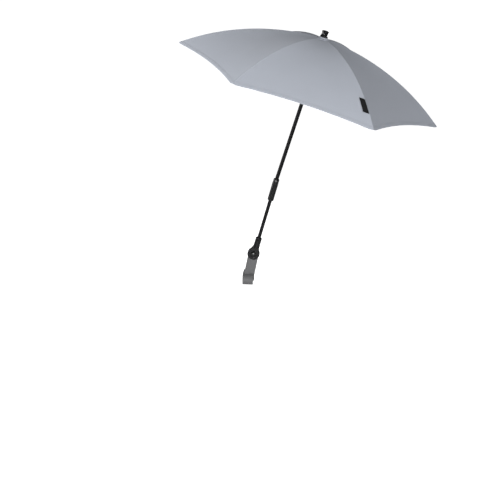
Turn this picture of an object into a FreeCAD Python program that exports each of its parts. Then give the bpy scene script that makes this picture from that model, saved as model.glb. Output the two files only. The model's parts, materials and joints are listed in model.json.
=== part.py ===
import FreeCAD
import Part
import math
import os
import re
import Sketcher

# A pram parasol: a six-ribbed canopy that folds on a shaft, a shaft that bends at a connector, and a knuckle
# on a bracket that clamps on a round tube of the pram's frame.
# Millimetres. The origin is the middle of the clamped tube, which runs along X. +Z is up, and -Y is the side
# that the knuckle's pivot head shows on.

V = FreeCAD.Vector
Placement = FreeCAD.Placement
Rotation = FreeCAD.Rotation

SIZES = {
    # Clearances
    "run_gap": 0.05, "body_gap": 0.3, "seam_gap": 0.15,
    # Canopy
    "canopy_radius": 345.0, "canopy_drop": 124.2, "canopy_top": 6.0, "crown_slope": 1.5, "cloth": 0.8,
    "cloth_hole": 9.0, "hem_draw": 15.0, "panel_dip": 6.0, "rosette_radius": 22.0,
    "label_long": 44.0, "label_wide": 14.0, "label_inset": 74.0,
    # Ribs and stretchers
    "hinge_circle": 8.9, "eye_radius": 2.5, "eye_wide": 3.0, "pin_radius": 1.0, "rib_radius": 1.6,
    "rib_start": 20.0, "tip_radius": 2.3, "tip_long": 18.0, "tip_inset": 9.0,
    "fork_at": 150.0, "fork_long": 9.0, "fork_wide": 6.6, "fork_top": 0.6, "fork_deep": 8.0,
    "fork_pivot": 5.2, "fork_fit": 0.1, "stretcher_radius": 1.4, "runner_drop": 104.0,
    # Crown and runner
    "notch_radius": 13.4, "notch_half": 4.5, "slot_wide": 3.8, "slot_floor": 6.0, "crown_rise": 3.0,
    "sleeve_wall": 1.2, "sleeve_long": 31.5, "grip_radius": 9.4, "grip_long": 14.0, "grip_round": 1.5,
    # Ferrule
    "ferrule_base": 10.4, "ferrule_waist": 8.1, "ferrule_head": 8.9, "ferrule_tall": 15.2,
    "ferrule_foot": 2.2, "ferrule_stem": 16.0, "ferrule_dome": 2.2, "ferrule_round": 1.4,
    # Shaft, measured up from the knuckle's pivot
    "shaft_lean": 17.45, "crown_height": 586.0, "tube_radius": 4.9, "tube_wall": 1.0, "tube_end": 9.2,
    "arm_lean": 15.88, "pivot_offset": 1.8, "rod_radius": 4.6, "rod_foot": 14.0, "rod_sink": 38.3,
    "connector_long": 60.3, "connector_radius": 8.0, "connector_round": 2.4, "ear_rise": 4.7,
    "bend_height": 207.3, "bend_pin": 2.0, "bend_head": 2.7, "bend_head_thick": 0.8,
    "tang_thick": 5.0, "tang_wide": 9.4, "tang_neck": 8.0, "fork_gap": 0.2, "fork_floor": 5.3,
    "plug_long": 25.0,
    "rivet_radius": 1.5, "rivet_inset": 6.2,
    # Knuckle and its pivot
    "disc_radius": 16.0, "disc_thick": 13.0, "neck_half": 8.2, "neck_sweep": 22.0, "neck_top": 46.0,
    "neck_plate": 30.0, "recess_radius": 9.3, "recess_deep": 3.0, "knuckle_round": 1.2,
    "pivot_radius": 3.0, "pivot_head": 6.6, "pivot_dome": 3.4, "pivot_tip": 1.5,
    "washer_radius": 12.0, "washer_thick": 1.0, "nut_flats": 10.0, "nut_thick": 5.0,
    # Bracket and clamp
    "bracket_lean": 11.5, "pivot_rise": 78.0, "tab_wide": 27.5, "tab_thick": 5.0,
    "frame_tube": 11.0, "pad_thick": 1.5, "pad_fit": 0.1, "jaw_wall": 5.0, "near_reach": 9.0,
    "far_wall": 7.0, "far_reach": 10.0, "jaw_thick": 6.0, "jaw_half": 8.0, "jaw_travel": 8.0,
    "screw_radius": 3.0, "screw_seat": 2.5, "screw_free": 12.0, "insert_thick": 4.0,
    "knob_radius": 13.0, "knob_thick": 9.0, "knob_lobe": 4.0, "knob_round": 1.5,
}
RIBS = 6
SIDES = {"left": -1, "right": 1}

doc = FreeCAD.newDocument("PramParasol")
sheet = doc.addObject("Spreadsheet::Sheet", "Sizes")
for row, (alias, number) in enumerate(SIZES.items(), start=1):
    sheet.set(f"A{row}", alias)
    sheet.set(f"B{row}", str(number))
    sheet.setAlias(f"B{row}", alias)
doc.recompute()
nodes = []


def size(alias):
    return float(sheet.get(alias))


def tied(text):
    """An expression in the sheet's names, as the document writes it."""
    return re.sub(r"\b(?!(?:cos|sin|sqrt)\b)[a-z][a-z_]+", r"Sizes.\g<0>", text)


def value(text):
    number = sheet.evalExpression(tied(text))
    return float(getattr(number, "Value", number))


def bind(obj, **expressions):
    for name, text in expressions.items():
        obj.setExpression(name, tied(text))
    return obj


def node(label, obj, placement=None):
    """Keep an object as a sub-part of its own, and put it in its place."""
    obj.Label = label
    if placement is not None:
        obj.Placement = placement
    nodes.append(obj)
    return obj


def shape_node(label, shape, placement=None):
    obj = doc.addObject("Part::Feature", label)
    obj.Shape = shape
    return node(label, obj, placement)


# Places


def bracket_frame():
    """The knuckle's pivot in the row frame, on the shaft's centre plane."""
    lean = math.radians(size("bracket_lean"))
    rise = size("pivot_rise")
    side = size("tab_thick") / 2 + size("washer_thick") + size("disc_thick") / 2
    return V(rise * math.sin(lean), -side, rise * math.cos(lean))


def arm_frame():
    """The lower arm: Z runs up along the rod, whose line passes the pivot at an offset."""
    turn = Rotation(V(0, 1, 0), size("arm_lean"))
    return Placement(bracket_frame() + turn.multVec(V(size("pivot_offset"), 0, 0)), turn)


def shaft_frame(height=0.0, azimuth=0.0):
    """A place on the upper shaft, which is bent a little at the connector's pin: Z runs up along it."""
    turn = Rotation(V(0, 1, 0), size("shaft_lean"))
    pin = arm_frame().multVec(V(0, 0, size("bend_height")))
    base = pin + turn.multVec(V(0, 0, height - size("bend_height")))
    return Placement(base, turn * Rotation(V(0, 0, 1), azimuth))


def crown_frame(azimuth=0.0):
    return shaft_frame(size("crown_height"), azimuth)


# Document objects


def cylinder(name, radius, height, base, axis):
    obj = doc.addObject("Part::Cylinder", name)
    bind(obj, Radius=radius, Height=height)
    obj.Placement = Placement(base, Rotation(V(0, 0, 1), axis))
    return obj


def box(name, long, wide, tall, base):
    obj = doc.addObject("Part::Box", name)
    bind(obj, Length=long, Width=wide, Height=tall)
    obj.Placement = Placement(base, Rotation())
    return obj


def fuse(name, parts):
    obj = doc.addObject("Part::MultiFuse", name)
    obj.Shapes = parts
    obj.Refine = True
    return obj


def cut(name, base, tools):
    obj = doc.addObject("Part::Cut", name)
    obj.Base = base
    obj.Tool = tools[0] if len(tools) == 1 else fuse(name + "Tools", tools)
    return obj


def new_body(name):
    return doc.addObject("PartDesign::Body", name)


def sketch_on(body, name, plane):
    sketch = body.newObject("Sketcher::SketchObject", name)
    support = [f for f in body.Origin.OriginFeatures if f.Role == plane][0]
    sketch.AttachmentSupport = [(support, "")]
    sketch.MapMode = "FlatFace"
    return sketch


def pin_point(sketch, line, corner):
    """Tie the start of a line to two expressions; a zero puts it on the sketch's axis."""
    for direction, axis, text in (("DistanceX", -2, corner[0]), ("DistanceY", -1, corner[1])):
        number = value(text)
        if abs(number) < 1e-9:
            sketch.addConstraint(Sketcher.Constraint("PointOnObject", line, 1, axis))
            continue
        index = sketch.addConstraint(Sketcher.Constraint(direction, -1, 1, line, 1, number))
        sketch.setExpression(f"Constraints[{index}]", tied(text))


def outline(body, name, plane, corners):
    """A closed outline of straight lines through corners given as expressions."""
    sketch = sketch_on(body, name, plane)
    points = [V(value(x), value(y), 0) for x, y in corners]
    count = len(points)
    for i in range(count):
        sketch.addGeometry(Part.LineSegment(points[i], points[(i + 1) % count]), False)
    for i in range(count):
        sketch.addConstraint(Sketcher.Constraint("Coincident", i, 2, (i + 1) % count, 1))
    for i, corner in enumerate(corners):
        pin_point(sketch, i, corner)
    return sketch


def ring(body, name, plane, centre, radius):
    """A circle tied by its centre and radius."""
    sketch = sketch_on(body, name, plane)
    middle = V(value(centre[0]), value(centre[1]), 0)
    sketch.addGeometry(Part.Circle(middle, V(0, 0, 1), value(radius)), False)
    index = sketch.addConstraint(Sketcher.Constraint("Radius", 0, value(radius)))
    sketch.setExpression(f"Constraints[{index}]", tied(radius))
    for direction, axis, text in (("DistanceX", -2, centre[0]), ("DistanceY", -1, centre[1])):
        number = value(text)
        if abs(number) < 1e-9:
            sketch.addConstraint(Sketcher.Constraint("PointOnObject", 0, 3, axis))
            continue
        index = sketch.addConstraint(Sketcher.Constraint(direction, -1, 1, 0, 3, number))
        sketch.setExpression(f"Constraints[{index}]", tied(text))
    return sketch


def revolve(body, name, sketch):
    feature = body.newObject("PartDesign::Revolution", name)
    feature.Profile = sketch
    feature.ReferenceAxis = (sketch, ["V_Axis"])
    feature.Angle = 360
    return feature


def pocket(body, name, sketch, length):
    """A cut to both sides of the sketch's plane; one that takes nothing away stops the build."""
    doc.recompute()
    before = body.Shape.Volume
    feature = body.newObject("PartDesign::Pocket", name)
    feature.Profile = sketch
    feature.SideType = "Symmetric"
    bind(feature, Length=length)
    doc.recompute()
    if body.Shape.Volume >= before - 1e-6:
        raise RuntimeError(f"{name} cuts nothing")
    return feature


def around(body, name, features, axis_sketch):
    """Repeat features once for each rib about the shaft."""
    pattern = body.newObject("PartDesign::PolarPattern", name)
    pattern.Originals = features
    pattern.Axis = (axis_sketch, ["V_Axis"])
    pattern.Angle = 360
    pattern.Occurrences = RIBS
    body.Tip = pattern
    return pattern


def soften(body, name, radius, chosen):
    """Round the edges that a test picks, on the body as it stands."""
    doc.recompute()
    base = body.Tip
    picked = [f"Edge{i}" for i, edge in enumerate(base.Shape.Edges, start=1) if chosen(edge)]
    feature = body.newObject("PartDesign::Fillet", name)
    feature.Base = (base, picked)
    bind(feature, Radius=radius)
    return feature


def circle_at(edge, radius, height):
    """True for a round edge of this radius about Z at this height."""
    curve = edge.Curve
    if not isinstance(curve, Part.Circle):
        return False
    return abs(curve.Radius - radius) < 1e-3 and abs(curve.Center.z - height) < 1e-3


# Canopy geometry: heights are from the plane of the crown's hinge pins


def dome_radius():
    """Radius of the arc over a rib, which leaves the crown at a small slope."""
    radius, drop = size("canopy_radius"), size("canopy_drop")
    half_turn = math.atan2(drop, radius) - math.radians(size("crown_slope"))
    return math.hypot(radius, drop) / (2 * math.sin(half_turn))


def dome_centre():
    """Centre of the arc over a rib, on the far side of the shaft because of the slope."""
    slope = math.radians(size("crown_slope"))
    return V(-dome_radius() * math.sin(slope), 0, size("canopy_top") - dome_radius() * math.cos(slope))


def dome_height(out):
    """Height of the cloth's outer face over a rib."""
    centre = dome_centre()
    return centre.z + math.sqrt(dome_radius() ** 2 - (out - centre.x) ** 2)


def rib_arc():
    """Radius of the arc that the ribs' centre lines follow."""
    return dome_radius() - size("cloth") - size("body_gap") - size("tip_radius")


def rib_point(out, under=0.0):
    """A point on a rib's centre line at a distance out, moved inward from it by a depth."""
    centre, radius = dome_centre(), rib_arc()
    angle = math.asin((out - centre.x) / radius)
    return centre + V(math.sin(angle), 0, math.cos(angle)) * (radius - under), angle


def cloth_point(along, across):
    """The cloth's outer face: along runs from the hole to the hem, across from a rib to the crease."""
    belly = across * (2 - across)
    reach = size("canopy_radius") - size("cloth_hole") - size("hem_draw") * belly
    out = size("cloth_hole") + along * reach
    half = math.pi / RIBS
    chord = out * math.cos(half)
    crease = V(chord * math.cos(half), chord * math.sin(half), 0)
    plan = V(out, 0, 0) * (1 - across) + crease * across
    inward = V(math.sin(half), -math.cos(half), 0)
    plan += V(0, size("seam_gap"), 0) * (1 - across) + inward * size("seam_gap") * across
    plan.z = dome_height(out) - size("panel_dip") * along * belly
    return plan


def cloth_face(side, along_range, across_range, lift):
    """A smooth face through the cloth's points, mirrored to the left side where side is -1."""
    steps_along, steps_across = 12, 6
    rows = []
    for i in range(steps_along + 1):
        along = along_range[0] + (along_range[1] - along_range[0]) * i / steps_along
        row = []
        for j in range(steps_across + 1):
            across = across_range[0] + (across_range[1] - across_range[0]) * j / steps_across
            point = cloth_point(along, across)
            row.append(V(point.x, point.y * side, point.z + lift))
        rows.append(row)
    surface = Part.BSplineSurface()
    surface.interpolate(rows)
    return surface.toShape()


def sheet_solid(side, along_range, across_range, top, thick):
    """A closed sheet between two copies of the cloth's face."""
    upper = cloth_face(side, along_range, across_range, top)
    lower = cloth_face(side, along_range, across_range, top - thick)
    walls = []
    for edge in upper.Edges:
        fallen = edge.copy()
        fallen.translate(V(0, 0, -thick))
        walls.append(Part.makeRuledSurface(edge, fallen))
    shell = Part.makeShell([upper, lower] + walls)
    shell.sewShape()
    solid = Part.makeSolid(shell)
    solid.fix(1e-4, 1e-4, 1e-3)
    if solid.Volume < 0:
        solid.reverse()
    return solid


def make_canopy():
    for number in range(RIBS):
        azimuth = 360.0 / RIBS * number
        for side_name, side in SIDES.items():
            solid = sheet_solid(side, (0, 1), (0, 1), 0.0, size("cloth"))
            shape_node(f"canopy_{side_name}_{number + 1}", solid, crown_frame(azimuth))
    base = V(0, 0, size("canopy_top") + size("run_gap"))
    rosette = cylinder("Rosette", "rosette_radius", "cloth", base, V(0, 0, 1))
    hole = cylinder("RosetteHole", "tube_radius - tube_wall", "cloth", base, V(0, 0, 1))
    node("rosette", cut("RosetteRing", rosette, [hole]), crown_frame())


def make_label():
    """A bare cloth label that lies on the near panel, along the seam of the rib at 300 degrees."""
    reach = size("canopy_radius") - size("cloth_hole")
    inner = size("canopy_radius") - size("label_inset")
    start = (inner - size("cloth_hole")) / reach
    end = start + size("label_long") * math.cos(rib_point(inner)[1]) / reach
    half_gore = inner * math.sin(math.pi / RIBS)
    lift = size("body_gap") + size("cloth")
    solid = sheet_solid(-1, (start, end), (0.01, size("label_wide") / half_gore), lift, size("cloth"))
    shape_node("label", solid, crown_frame(300.0))


# Ribs and stretchers


def torus_rod(radius, out_from, out_to, under=0.0):
    """A round rod along the rib's arc between two distances from the shaft."""
    start, start_angle = rib_point(out_from, under)
    end_angle = rib_point(out_to, under)[1]
    tangent = V(math.cos(start_angle), 0, -math.sin(start_angle))
    face = Part.Face(Part.Wire(Part.makeCircle(radius, start, tangent)))
    return face.revolve(dome_centre(), V(0, 1, 0), math.degrees(end_angle - start_angle))


def eye(at, hole):
    """A flat round eye about an axis along Y, and the hole for its pin."""
    wide = size("eye_wide")
    disc = Part.makeCylinder(size("eye_radius"), wide, at - V(0, wide / 2, 0), V(0, 1, 0))
    bore = Part.makeCylinder(hole, 2 * wide, at - V(0, wide, 0), V(0, 1, 0))
    return disc, bore


def rib_shape():
    hinge = V(size("hinge_circle"), 0, 0)
    disc, bore = eye(hinge, size("pin_radius") + size("run_gap"))
    root = rib_point(size("rib_start"))[0]
    half, radius = size("eye_wide") / 2, size("rib_radius")
    corners = [hinge + V(0, 0, size("eye_radius")), root + V(0, 0, radius), root - V(0, 0, radius),
               hinge - V(0, 0, size("eye_radius"))]
    lug = Part.Face(Part.makePolygon(corners + corners[:1])).extrude(V(0, 2 * half, 0))
    lug.translate(V(0, -half, 0))
    overlap = 2 * radius
    rod = torus_rod(radius, size("rib_start") - overlap, size("canopy_radius") - size("tip_inset"))
    return disc.fuse([lug, rod]).cut(bore).removeSplitter()


def tip_shape():
    """The cap on a rib's outer end, bored for the rib."""
    far = size("canopy_radius") - size("tip_inset")
    cap = torus_rod(size("tip_radius"), size("canopy_radius") - size("tip_long"), far)
    ball = Part.makeSphere(size("tip_radius"), rib_point(far)[0])
    rib = torus_rod(size("rib_radius"), size("canopy_radius") - 2 * size("tip_long"), far)
    return cap.fuse(ball).cut(rib)


def fork_pivot():
    return rib_point(size("fork_at"), size("fork_pivot"))[0]


def fork_shape():
    """The fork that hangs under a rib, with the rivet that the stretcher turns on."""
    middle, angle = rib_point(size("fork_at"))
    long, wide = size("fork_long"), size("fork_wide")
    tall = size("fork_top") + size("fork_deep")
    block = Part.makeBox(long, wide, tall, V(-long / 2, -wide / 2, -size("fork_deep")))
    gap = size("eye_wide") + 2 * size("fork_gap")
    roof = size("eye_radius") + size("body_gap")
    slot = Part.makeBox(2 * long, gap, size("fork_deep") - size("fork_pivot") + roof,
                        V(-long, -gap / 2, -size("fork_deep")))
    along = Part.makeCylinder(size("pin_radius"), wide, V(0, -wide / 2, -size("fork_pivot")), V(0, 1, 0))
    block = block.cut(slot).cut(along)
    place = Placement(middle, Rotation(V(0, 1, 0), math.degrees(angle)))
    block.Placement = place
    rivet = along.copy()
    rivet.Placement = place.multiply(rivet.Placement)
    bore = torus_rod(size("rib_radius") + size("fork_fit"), size("fork_at") - long, size("fork_at") + long)
    return Part.makeCompound(block.cut(bore).Solids + [rivet])


def stretcher_shape():
    """A round bar with a flat eye at the rib's fork and another in the runner's slot."""
    top = fork_pivot()
    foot = V(size("hinge_circle"), 0, -size("runner_drop"))
    upper, upper_bore = eye(top, size("pin_radius") + size("run_gap"))
    lower, lower_bore = eye(foot, size("pin_radius"))
    bar = Part.makeCylinder(size("stretcher_radius"), (top - foot).Length, foot, top - foot)
    body = bar.fuse([upper, lower]).cut(upper_bore).cut(lower_bore).removeSplitter()
    wide = size("eye_wide")
    rivet = Part.makeCylinder(size("pin_radius"), wide, foot - V(0, wide / 2, 0), V(0, 1, 0))
    return Part.makeCompound(body.Solids + [rivet])


def make_ribs():
    shapes = {"rib": rib_shape(), "rib_tip": tip_shape(), "rib_fork": fork_shape(),
              "stretcher": stretcher_shape()}
    for number in range(RIBS):
        place = crown_frame(360.0 / RIBS * number)
        for name, shape in shapes.items():
            shape_node(f"{name}_{number + 1}", shape.copy(), place)


# Crown, runner and ferrule


def notched(name, corners, low, high):
    """A turned hub with one slot for each rib, from the floor of the slot outward."""
    body = new_body(name)
    turned = outline(body, name + "Profile", "XZ_Plane", corners)
    revolve(body, name + "Hub", turned)
    slot = outline(body, name + "SlotProfile", "XZ_Plane", [
        ("slot_floor", low), ("notch_radius + slot_floor", low),
        ("notch_radius + slot_floor", high), ("slot_floor", high)])
    cutter = pocket(body, name + "Slot", slot, "slot_wide")
    return body, turned, cutter


def make_crown():
    body, turned, slot = notched("Crown", [
        ("tube_radius", "-notch_half"), ("notch_radius", "-notch_half"),
        ("notch_radius", "crown_rise"), ("tube_radius", "crown_rise")], "-2 * notch_half", "2 * notch_half")
    hole = ring(body, "CrownPinProfile", "XZ_Plane", ("hinge_circle", "0"), "pin_radius")
    bore = pocket(body, "CrownPinHole", hole, "slot_wide * 2")
    around(body, "CrownPattern", [slot, bore], turned)
    node("crown", body, crown_frame())
    long = 2 * size("slot_wide")
    pins = []
    for number in range(RIBS):
        pin = Part.makeCylinder(size("pin_radius"), long, V(size("hinge_circle"), -long / 2, 0), V(0, 1, 0))
        pin.rotate(V(0, 0, 0), V(0, 0, 1), 360.0 / RIBS * number)
        pins.append(pin)
    shape_node("crown_pins", Part.makeCompound(pins), crown_frame())


def make_runner():
    """The slide on the shaft: a slotted head, a slim sleeve and a ring to hold it by."""
    bore, sleeve = "tube_radius + run_gap", "tube_radius + run_gap + sleeve_wall"
    foot = "-notch_half - sleeve_long"
    body, turned, slot = notched("Runner", [
        (bore, foot), ("grip_radius", foot), ("grip_radius", foot + " + grip_long"),
        (sleeve, foot + " + grip_long + grip_radius - tube_radius"), (sleeve, "-notch_half"),
        ("notch_radius", "-notch_half"), ("notch_radius", "notch_half"), (bore, "notch_half")],
        "-notch_half", "2 * notch_half")
    around(body, "RunnerPattern", [slot], turned)
    soften(body, "RunnerRound", "grip_round",
           lambda edge: circle_at(edge, size("grip_radius"), value(foot)))
    drop = Placement(V(0, 0, -size("runner_drop")), Rotation())
    node("runner", body, crown_frame().multiply(drop))


def make_ferrule():
    body = new_body("Ferrule")
    base = "canopy_top + 2 * run_gap + cloth"
    stem = "tube_radius - tube_wall - run_gap"
    turned = outline(body, "FerruleProfile", "XZ_Plane", [
        ("0", base + " - ferrule_stem"), (stem, base + " - ferrule_stem"), (stem, base),
        ("ferrule_base", base), ("ferrule_base - ferrule_foot / 4", base + " + ferrule_foot"),
        ("ferrule_waist", base + " + ferrule_tall / 2"),
        ("ferrule_head", base + " + ferrule_tall - ferrule_dome"),
        ("ferrule_head / 2", base + " + ferrule_tall - ferrule_dome / 3"), ("0", base + " + ferrule_tall")])
    revolve(body, "FerruleTurned", turned)
    edges = ((size("ferrule_head"), value(base + " + ferrule_tall - ferrule_dome")),
             (size("ferrule_waist"), value(base + " + ferrule_tall / 2")))
    soften(body, "FerruleRound", "ferrule_round",
           lambda edge: any(circle_at(edge, radius, height) for radius, height in edges))
    node("ferrule", body, crown_frame())


# Shaft, connector and rod: heights are along the shaft from the knuckle's pivot

CONNECTOR_HEAD = "bend_height + ear_rise"
CONNECTOR_FOOT = "bend_height + ear_rise - connector_long"
ROD_HEAD = CONNECTOR_FOOT + " + rod_sink"
RIVET_HIGH = CONNECTOR_FOOT + " + rivet_inset"
RIVET_LOW = "neck_top - rivet_inset"


def make_shaft():
    low = size("bend_height") + size("tube_end")
    long = "crown_height + crown_rise - bend_height - tube_end"
    outer = cylinder("ShaftOuter", "tube_radius", long, V(0, 0, low), V(0, 0, 1))
    inner = cylinder("ShaftInner", "tube_radius - tube_wall", long, V(0, 0, low), V(0, 0, 1))
    node("shaft_tube", cut("ShaftTube", outer, [inner]), shaft_frame())


def make_tang():
    """The end fitting of the upper shaft: a plug in the tube and a flat tang on the connector's pin."""
    pin = size("bend_height")
    half = size("tang_thick") / 2
    wide = size("tang_wide")
    plug = cylinder("TangPlug", "tube_radius - tube_wall - run_gap", "plug_long + tube_end - tang_neck",
                    V(0, 0, pin + size("tang_neck")), V(0, 0, 1))
    flat = box("TangFlat", "tang_wide", "tang_thick", "tube_end", V(-wide / 2, -half, pin))
    nose = cylinder("TangNose", "tang_wide / 2", "tang_thick", V(0, -half, pin), V(0, 1, 0))
    bore = cylinder("TangBore", "bend_pin + run_gap", "tang_thick * 2", V(0, -2 * half, pin), V(0, 1, 0))
    node("tang", cut("Tang", fuse("TangBlank", [plug, flat, nose]), [bore]), shaft_frame())


def make_connector():
    body = new_body("Connector")
    turned = outline(body, "ConnectorProfile", "XZ_Plane", [
        ("rod_radius", CONNECTOR_FOOT), ("connector_radius", CONNECTOR_FOOT),
        ("connector_radius", CONNECTOR_HEAD), ("0", CONNECTOR_HEAD), ("0", ROD_HEAD),
        ("rod_radius", ROD_HEAD)])
    revolve(body, "ConnectorTurned", turned)
    soften(body, "ConnectorRound", "connector_round", lambda edge: any(
        circle_at(edge, size("connector_radius"), value(end)) for end in (CONNECTOR_FOOT, CONNECTOR_HEAD)))
    floor, past = "bend_height - fork_floor", CONNECTOR_HEAD + " + connector_radius"
    slot = outline(body, "ConnectorSlotProfile", "XZ_Plane", [
        ("-2 * connector_radius", floor), ("2 * connector_radius", floor),
        ("2 * connector_radius", past), ("-2 * connector_radius", past)])
    pocket(body, "ConnectorSlot", slot, "tang_thick + 2 * fork_gap")
    for name, height, radius in (("Pin", "bend_height", "bend_pin"), ("Rivet", RIVET_HIGH, "rivet_radius")):
        circle = ring(body, f"Connector{name}Profile", "XZ_Plane", ("0", height), radius)
        pocket(body, f"Connector{name}Hole", circle, "connector_radius * 3")
    node("connector", body, arm_frame())


def make_bend_pin():
    """The connector's pin, with a flat head on each side."""
    reach = size("connector_radius")
    at = V(0, -reach, size("bend_height"))
    shank = cylinder("BendShank", "bend_pin", "connector_radius * 2", at, V(0, 1, 0))
    head = V(0, size("bend_head_thick"), 0)
    near = cylinder("BendNear", "bend_head", "bend_head_thick", at - head, V(0, 1, 0))
    far = cylinder("BendFar", "bend_head", "bend_head_thick", at + V(0, 2 * reach, 0), V(0, 1, 0))
    node("connector_pin", fuse("ConnectorPin", [shank, near, far]), arm_frame())


def make_rod():
    rod = cylinder("RodBar", "rod_radius", ROD_HEAD + " - rod_foot", V(0, 0, size("rod_foot")), V(0, 0, 1))
    ends = (("High", RIVET_HIGH, "connector_radius"), ("Low", RIVET_LOW, "neck_half"))
    holes = []
    rivets = []
    for name, height, reach in ends:
        at = V(0, -size(reach), value(height))
        holes.append(cylinder(f"RodHole{name}", "rivet_radius", reach + " * 2", at, V(0, 1, 0)))
        rivets.append(Part.makeCylinder(size("rivet_radius"), 2 * size(reach), at, V(0, 1, 0)))
    node("lower_rod", cut("LowerRod", rod, holes), arm_frame())
    shape_node("rod_rivets", Part.makeCompound(rivets), arm_frame())


# Knuckle and its pivot


def neck_side(side):
    """One side of the teardrop: where its hollow sweep leaves the disc, its middle and its end on the neck."""
    disc, sweep = size("disc_radius"), size("neck_sweep")
    out = size("neck_half") + sweep + side * size("pivot_offset")
    rise = math.sqrt((disc + sweep) ** 2 - out ** 2)
    middle = V(-size("pivot_offset"), 0, 0)
    centre = middle + V(side * out, 0, rise)
    half_turn = math.atan2(rise, out) / 2
    bend = centre - V(side * math.cos(half_turn), 0, math.sin(half_turn)) * sweep
    return middle + (centre - middle) * (disc / (disc + sweep)), bend, centre - V(side * sweep, 0, 0)


def knuckle_outline():
    """The teardrop: a disc about the pivot, two hollow sweeps and the neck's straight sides about the rod."""
    touch, bend, neck = neck_side(1)
    far_touch, far_bend, far_neck = neck_side(-1)
    head, far_head = V(neck.x, 0, size("neck_plate")), V(far_neck.x, 0, size("neck_plate"))
    bottom = V(-size("pivot_offset"), 0, -size("disc_radius"))
    edges = [
        Part.Arc(touch, bottom, far_touch).toShape(),
        Part.Arc(far_touch, far_bend, far_neck).toShape(),
        Part.LineSegment(far_neck, far_head).toShape(),
        Part.LineSegment(far_head, head).toShape(),
        Part.LineSegment(head, neck).toShape(),
        Part.Arc(neck, bend, touch).toShape(),
    ]
    return Part.Face(Part.Wire(edges))


def make_knuckle():
    thick = size("disc_thick")
    plate = knuckle_outline().extrude(V(0, thick, 0))
    plate.translate(V(0, -thick / 2, 0))
    rims = [edge for edge in plate.Edges if abs(abs(edge.CenterOfMass.y) - thick / 2) < 1e-3
            and edge.CenterOfMass.z < size("neck_plate") - 1e-3]
    plate = plate.makeFillet(size("knuckle_round"), rims)
    foot = size("disc_radius")
    neck = Part.makeCylinder(size("neck_half"), size("neck_top") - foot, V(0, 0, foot))
    lip = [edge for edge in neck.Edges if circle_at(edge, size("neck_half"), size("neck_top"))]
    neck = neck.makeFillet(size("knuckle_round"), lip)
    pivot = V(-size("pivot_offset"), -thick / 2, 0)
    recess = Part.makeCylinder(size("recess_radius"), size("recess_deep"), pivot, V(0, 1, 0))
    bore = Part.makeCylinder(size("pivot_radius") + size("run_gap"), 2 * thick, pivot, V(0, 1, 0))
    rod = Part.makeCylinder(size("rod_radius"), size("neck_top"), V(0, 0, size("rod_foot")))
    rivet = Part.makeCylinder(size("rivet_radius"), 2 * thick, V(0, -thick, value(RIVET_LOW)), V(0, 1, 0))
    shape = plate.fuse(neck).cut([recess, bore, rod, rivet]).removeSplitter()
    shape_node("knuckle", shape, arm_frame())


def make_pivot():
    """The bolt that the knuckle turns on, the washer behind the disc and the nut behind the bracket."""
    front = -size("disc_thick") / 2 + size("recess_deep")
    back = size("disc_thick") / 2 + size("washer_thick") + size("tab_thick")
    radius, head, dome = size("pivot_radius"), size("pivot_head"), size("pivot_dome")
    place = Placement(bracket_frame(), Rotation())
    seat = front - size("body_gap")
    long = back + size("nut_thick") + size("pivot_tip") - seat
    shank = Part.makeCylinder(radius, long, V(0, seat, 0), V(0, 1, 0))
    ball = (head * head + dome * dome) / (2 * dome)
    cap = Part.makeSphere(ball, V(0, seat - dome + ball, 0))
    cap = cap.common(Part.makeCylinder(head, dome, V(0, seat - dome, 0), V(0, 1, 0)))
    shape_node("pivot_bolt", cap.fuse(shank).removeSplitter(), place)
    face = V(0, size("disc_thick") / 2, 0)
    washer = cylinder("WasherDisc", "washer_radius", "washer_thick", face, V(0, 1, 0))
    hole = cylinder("WasherHole", "pivot_radius", "washer_thick", face, V(0, 1, 0))
    node("pivot_washer", cut("PivotWasher", washer, [hole]), place)
    shape_node("pivot_nut", hex_nut(size("nut_flats"), size("nut_thick"), radius, V(0, back, 0)), place)


def hex_nut(flats, thick, bore, base):
    corner = flats / math.sqrt(3)
    angles = [math.pi / 3 * i for i in range(7)]
    points = [V(corner * math.sin(angle), 0, corner * math.cos(angle)) + base for angle in angles]
    prism = Part.Face(Part.makePolygon(points)).extrude(V(0, thick, 0))
    return prism.cut(Part.makeCylinder(bore, thick, base, V(0, 1, 0)))


# Bracket and clamp


def seat_radius():
    return size("frame_tube") + size("pad_fit")


def far_leg():
    """Where the clamp's far leg begins, clear of the jaw when the screw is undone."""
    return seat_radius() + size("pad_thick") + size("jaw_thick") + size("jaw_travel") + size("body_gap")


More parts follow.
